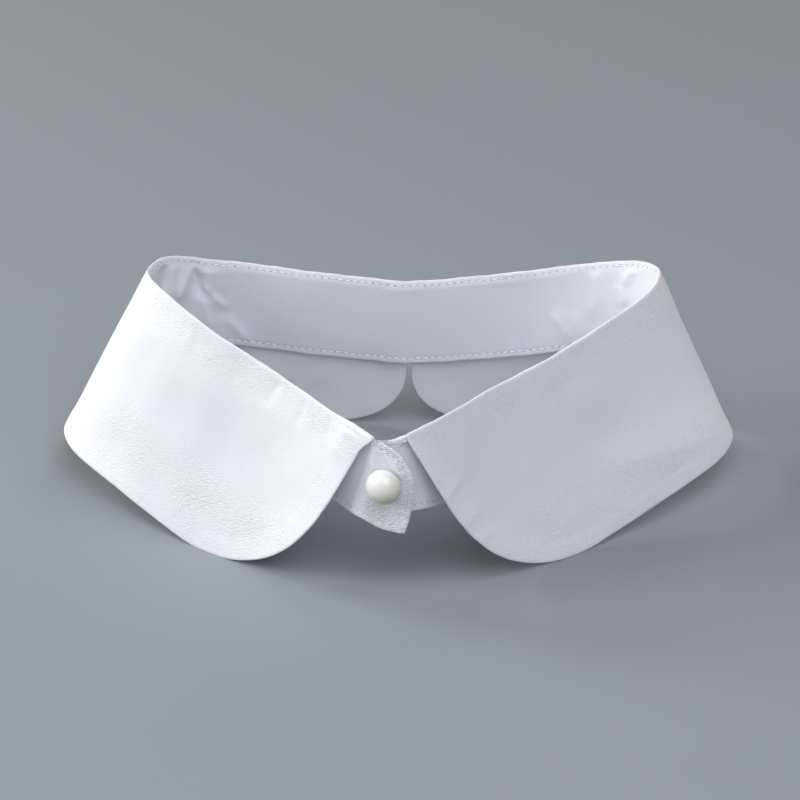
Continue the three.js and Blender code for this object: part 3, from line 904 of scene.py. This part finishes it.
# Kinds of fleck: their size along and down the cloth, the noise's seed and detail, their strength
WEAVE_FLECKS = (
    ("Weft length", "Thread width", 2, 1, 1.1),
    ("Thread width", "Warp length", 7, 1, 0.6),
    ("Speck size", "Speck size", 4, 0, 0.8),
)
MEAN_FLECK = 1.12


def weave_group():
    """Plain weave: uneven threads along and across the cloth, with specks where they cross."""
    tree = bpy.data.node_groups.new("Plain weave", "ShaderNodeTree")
    new_sockets(tree, "INPUT", {"Cloth": "Vector", **dict.fromkeys(WEAVE_INPUTS, "Float")})
    new_sockets(tree, "OUTPUT", dict.fromkeys(("Height", "Shade", "Patches"), "Float"))
    for socket in tree.interface.items_tree:
        if socket.name in WEAVE_INPUTS:
            socket.default_value = WEAVE_INPUTS[socket.name]
    nodes = Nodes(tree)
    given = nodes.add("NodeGroupInput").outputs
    along, down, _ = nodes.add("ShaderNodeSeparateXYZ", {0: given["Cloth"]}).outputs

    def flecks(width, length, seed, detail):
        x = nodes.math("DIVIDE", along, given[width])
        y = nodes.math("DIVIDE", down, given[length])
        place = nodes.add("ShaderNodeCombineXYZ", {0: x, 1: y, 2: seed})
        return nodes.noise(place, 1, detail)

    threads = -MEAN_FLECK
    for width, length, seed, detail, strength in WEAVE_FLECKS:
        fleck = flecks(width, length, seed, detail)
        threads = nodes.math("MULTIPLY_ADD", fleck, strength, threads)
    patches = flecks("Patch size", "Patch size", 5, 2)
    uneven = nodes.math("MULTIPLY_ADD", patches, 1.6, -0.3)
    coarse = nodes.math("MULTIPLY_ADD", given["Coarse"], 0.85, 0.15)
    strength = nodes.math("MAXIMUM", nodes.math("MULTIPLY", coarse, uneven), 0.05)
    relief = nodes.math("MULTIPLY", threads, strength)
    shade = nodes.math("MULTIPLY_ADD", relief, 1.5, 0.5)
    nodes.add("NodeGroupOutput", {"Height": relief, "Shade": shade, "Patches": patches})
    return tree


def new_material(name, values):
    """A material with its nodes and its surface, which has these values."""
    material = bpy.data.materials.new(name)
    material.use_nodes = True
    nodes = Nodes(material.node_tree)
    surface = material.node_tree.nodes["Principled BSDF"]
    nodes.feed(surface, values)
    return material, nodes, surface


def plain_finish(name, colour, roughness):
    values = {"Base Color": (*colour, 1), "Roughness": roughness, "Specular IOR Level": 0.2}
    return new_material(name, values)[0]


def cotton(name, weave, tints, bump, grain_turn):
    """White cotton. The tints are for raised threads, for the gaps and for the cooler patches."""
    material, nodes, surface = new_material(name, {
        "Specular IOR Level": 0.25, "Sheen Weight": 0.12, "Sheen Roughness": 0.5,
        "Subsurface Weight": 0.45, "Subsurface Radius": (1, 1, 1), "Subsurface Scale": 0.003,
    })
    cloth = nodes.add("ShaderNodeUVMap", uv_map="cloth")
    turn = (0, 0, math.radians(grain_turn))
    turned = nodes.add("ShaderNodeMapping", {"Vector": cloth, "Rotation": turn})
    coarse = nodes.add("ShaderNodeAttribute", attribute_name="coarse").outputs["Fac"]
    threads = nodes.add("ShaderNodeGroup", {"Cloth": turned, "Coarse": coarse}, node_tree=weave)
    height, shade, patches = threads.outputs
    woven = nodes.tint(shade, tints["gap"], tints["thread"])
    cool = nodes.math("MULTIPLY", patches, 0.35)
    relief = {"Strength": bump, "Distance": 0.0004, "Height": height}
    nodes.feed(surface, {
        "Base Color": nodes.tint(cool, woven, tints["cool"]),
        "Roughness": nodes.math("MULTIPLY_ADD", shade, -0.1, 0.92),
        "Normal": nodes.add("ShaderNodeBump", relief),
    })
    return material


# The button
def button_seat():
    along = np.array(FOLD_LENGTH + PEARL_PAST_FRONT)
    centre, outward, _ = band_frame(along)
    reach = PACKED_BAND_WALL / 2 + PEARL_BELOW_CREST * math.sin(band_lean(along))
    return centre + outward * reach - UP * PEARL_BELOW_CREST, outward


def make_button(finish):
    """The pearl, its flat back just off the cloth, and its moulded shank."""
    seat, outward = button_seat()
    shank_end = -PACKED_BAND_WALL - SEAT_GAP / 2
    back = math.asin((SEAT_GAP - PEARL_WIDEST) / PEARL_RADIUS)
    profile = [(SHANK_RADIUS, shank_end), (SHANK_RADIUS, SEAT_GAP)]
    profile.append((PEARL_RADIUS * math.cos(back) - 0.15, SEAT_GAP))
    for angle in np.linspace(back, math.pi / 2, 40)[:-1]:
        depth = PEARL_RADIUS if angle < 0 else PEARL_FRONT
        profile.append((PEARL_RADIUS * math.cos(angle), PEARL_WIDEST + depth * math.sin(angle)))
    segments = 72
    sideways = unit(np.cross(UP, outward))
    upwards = np.cross(outward, sideways)
    points, polygons = [seat + outward * shank_end], []
    for radius, height in profile:
        for i in range(segments):
            turn = 2 * math.pi * i / segments
            around = sideways * math.cos(turn) + upwards * math.sin(turn)
            points.append(seat + outward * height + around * radius)
    points.append(seat + outward * (PEARL_WIDEST + PEARL_FRONT))
    for i in range(segments):
        j = (i + 1) % segments
        polygons.append((0, 1 + j, 1 + i))
        for ring in range(len(profile) - 1):
            low, high = 1 + ring * segments, 1 + (ring + 1) * segments
            polygons.append((low + i, low + j, high + j, high + i))
        last = 1 + (len(profile) - 1) * segments
        polygons.append((last + i, last + j, len(points) - 1))
    mesh = bpy.data.meshes.new("pearl")
    mesh.from_pydata((np.array(points) * MM).tolist(), [], polygons)
    weld(mesh)
    mesh.materials.append(finish)
    return add_object("pearl", mesh)


# The pearl's colours, from its upper left to its lower right: its pale body, then a painted
# reflection and painted shade, warmer, greener and darker, towards its lower right
PEARL_TINTS_REFLECTION_AND_SHADE = (
    (0.15, (0.71, 0.725, 0.7)),
    (0.48, (0.74, 0.72, 0.66)),
    (0.78, (0.66, 0.655, 0.52)),
    (1.0, (0.65, 0.65, 0.58)),
)


def pearl():
    """Moulded nacre: a pale, cloudy body whose tint turns from cool to cream to a warm green across
    it, the warm green being a painted reflection and painted shade, darker towards its lower right.
    """
    material, nodes, surface = new_material("Pearl", {
        "Coat Weight": 0.25, "Coat Roughness": 0.32,
        "Subsurface Weight": 0.3, "Subsurface Scale": 0.001,
    })
    seat, outward = button_seat()
    sideways = unit(np.cross(UP, outward))
    place = nodes.add("ShaderNodeTexCoord").outputs["Object"]
    centred = nodes.vector_math("SUBTRACT", place, (seat + outward * 2) * MM)
    # The way towards the pearl's lower right, where the painted reflection and painted shade lie
    way = unit(0.75 * sideways - UP) / (PEARL_RADIUS * MM)
    shift = nodes.vector_math("DOT_PRODUCT", centred, way).outputs["Value"]
    cloudy = nodes.noise(place, 260, 2)
    across = nodes.math("ADD", shift, nodes.math("MULTIPLY_ADD", cloudy, 0.5, -0.25))
    body = nodes.add("ShaderNodeValToRGB", {0: nodes.math("MULTIPLY_ADD", across, 0.5, 0.5)})
    stops = body.color_ramp.elements
    for i, (position, colour) in enumerate(PEARL_TINTS_REFLECTION_AND_SHADE):
        stop = stops[i] if i < 2 else stops.new(position)
        stop.position = position
        stop.color = (*colour, 1)
    layers = nodes.math("MULTIPLY_ADD", cloudy, 0.12, 0.3)
    nodes.feed(surface, {"Base Color": body, "Roughness": layers})
    return material


# The stand: floor, light and camera
FLOOR_HALF = 3.0
FLOOR_COLOUR = (0.229, 0.256, 0.276)


def make_floor():
    mesh = bpy.data.meshes.new("floor")
    corners = [(x * FLOOR_HALF, y * FLOOR_HALF, 0) for x, y in ((-1, -1), (1, -1), (1, 1), (-1, 1))]
    mesh.from_pydata(corners, [], [(0, 1, 2, 3)])
    mesh.materials.append(plain_finish("Floor paper", FLOOR_COLOUR, 0.9))
    add_object("floor", mesh)


def way_to(azimuth, elevation):
    """The way from the object to a place round it: in front at azimuth 0, then to the right."""
    turn, up = math.radians(azimuth), math.radians(elevation)
    return Vector((math.sin(turn) * math.cos(up), -math.cos(turn) * math.cos(up), math.sin(up)))


CAMERA = {"azimuth": 1.9, "elevation": 34.4, "distance": 0.9668, "focal_pixels": 3265.1}
CAMERA_TARGET = Vector((0.00091, 0.01446, 0.03))
FRAME_PIXELS = 800


def make_camera():
    camera = bpy.data.cameras.new("camera")
    camera.sensor_width = 36
    camera.lens = CAMERA["focal_pixels"] / FRAME_PIXELS * camera.sensor_width
    away = way_to(CAMERA["azimuth"], CAMERA["elevation"])
    right = Vector(UP).cross(away).normalized()
    turned = Matrix((right, away.cross(right), away)).transposed().to_4x4()
    place = add_object("camera", camera)
    place.matrix_world = Matrix.Translation(CAMERA_TARGET + away * CAMERA["distance"]) @ turned
    bpy.context.scene.camera = place


# Soft lamps round the object: degrees round from the front, to the left when below 0, degrees up
# from the floor, size, strength and colour
COOL = (0.985, 0.985, 1.05)
PLAIN = (1.0, 1.0, 0.99)
LAMP_COLUMNS = ("name", "round", "up", "size", "strength", "colour")
LAMP_ROWS = (
    ("fill_front", 10, 58, 0.9, 11.4, COOL),
    ("fill_high_right", 45, 58, 0.9, 4.4, COOL),
    ("back_right", 150, 30, 0.9, 3.2, PLAIN),
    ("side_low", -108, 18, 0.35, 4.0, PLAIN),
    ("side_high", -108, 35, 0.35, 4.4, PLAIN),
    ("key_low", -76, 18, 0.35, 4.2, PLAIN),
    ("key_high", -76, 35, 0.35, 5.4, PLAIN),
)
LAMP_DISTANCE = 1.3
LAMP_TARGET = Vector((0, 0, 0.03))


def make_light():
    for row in LAMP_ROWS:
        lamp = dict(zip(LAMP_COLUMNS, row))
        light = bpy.data.lights.new(lamp["name"], "AREA")
        light.size = lamp["size"]
        light.energy = lamp["strength"]
        light.color = lamp["colour"]
        away = way_to(lamp["round"], lamp["up"])
        place = add_object(lamp["name"], light)
        place.location = LAMP_TARGET + away * LAMP_DISTANCE
        place.rotation_euler = away.to_track_quat("Z", "Y").to_euler()
    world = bpy.data.worlds.new("soft room")
    world.use_nodes = True
    background = world.node_tree.nodes["Background"]
    background.inputs["Color"].default_value = (0.9, 0.95, 1.0, 1)
    background.inputs["Strength"].default_value = 0.02
    bpy.context.scene.world = world
    bpy.context.scene.view_settings.view_transform = "Standard"


LEAF_TINTS = {"thread": (0.91, 0.922, 0.955), "gap": (0.68, 0.695, 0.75), "cool": (0.78, 0.79, 0.855)}
BAND_TINTS = {"thread": (0.9, 0.91, 0.955), "gap": (0.67, 0.682, 0.75), "cool": (0.77, 0.775, 0.855)}

weave = weave_group()
leaf_cotton = cotton("Leaf cotton", weave, LEAF_TINTS, bump=0.8, grain_turn=20)
band_cotton = cotton("Band cotton", weave, BAND_TINTS, bump=0.9, grain_turn=8)
thread = plain_finish("Sewing thread", (0.83, 0.84, 0.88), 0.7)
# Painted shade: the needle holes are flat dark ovals of this colour laid on the cloth, not holes in
# it
needle_hole_shade = plain_finish("Needle hole shadow", (0.45, 0.46, 0.52), 0.95)

for side_name in ("left", "right"):
    leaf = make_leaf(side_name, leaf_cotton)
    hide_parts(f"leaf_{side_name}")
    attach(leaf, "root")

outline = band_outline()
route = stitch_route()
band = make_band(band_cotton, outline, route)
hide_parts("neck_band")
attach(band, "root")

tree = stitch_tree()
everywhere, off_tabs = (sewn_paths(outline, route, on_tabs) for on_tabs in (True, False))
stitches = sew("band_stitches", tree, everywhere, STITCH, thread)
# Painted shade of the needle holes: dark ovals between the stitches, off the tabs
needle_hole_shades = sew("band_needle_hole_shades", tree, off_tabs, NEEDLE_HOLE_SHADE, needle_hole_shade)
for seam in (stitches, needle_hole_shades):
    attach(seam, "root")

button = make_button(pearl())
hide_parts("pearl_button")
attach(button, "root")

make_floor()
make_light()
make_camera()
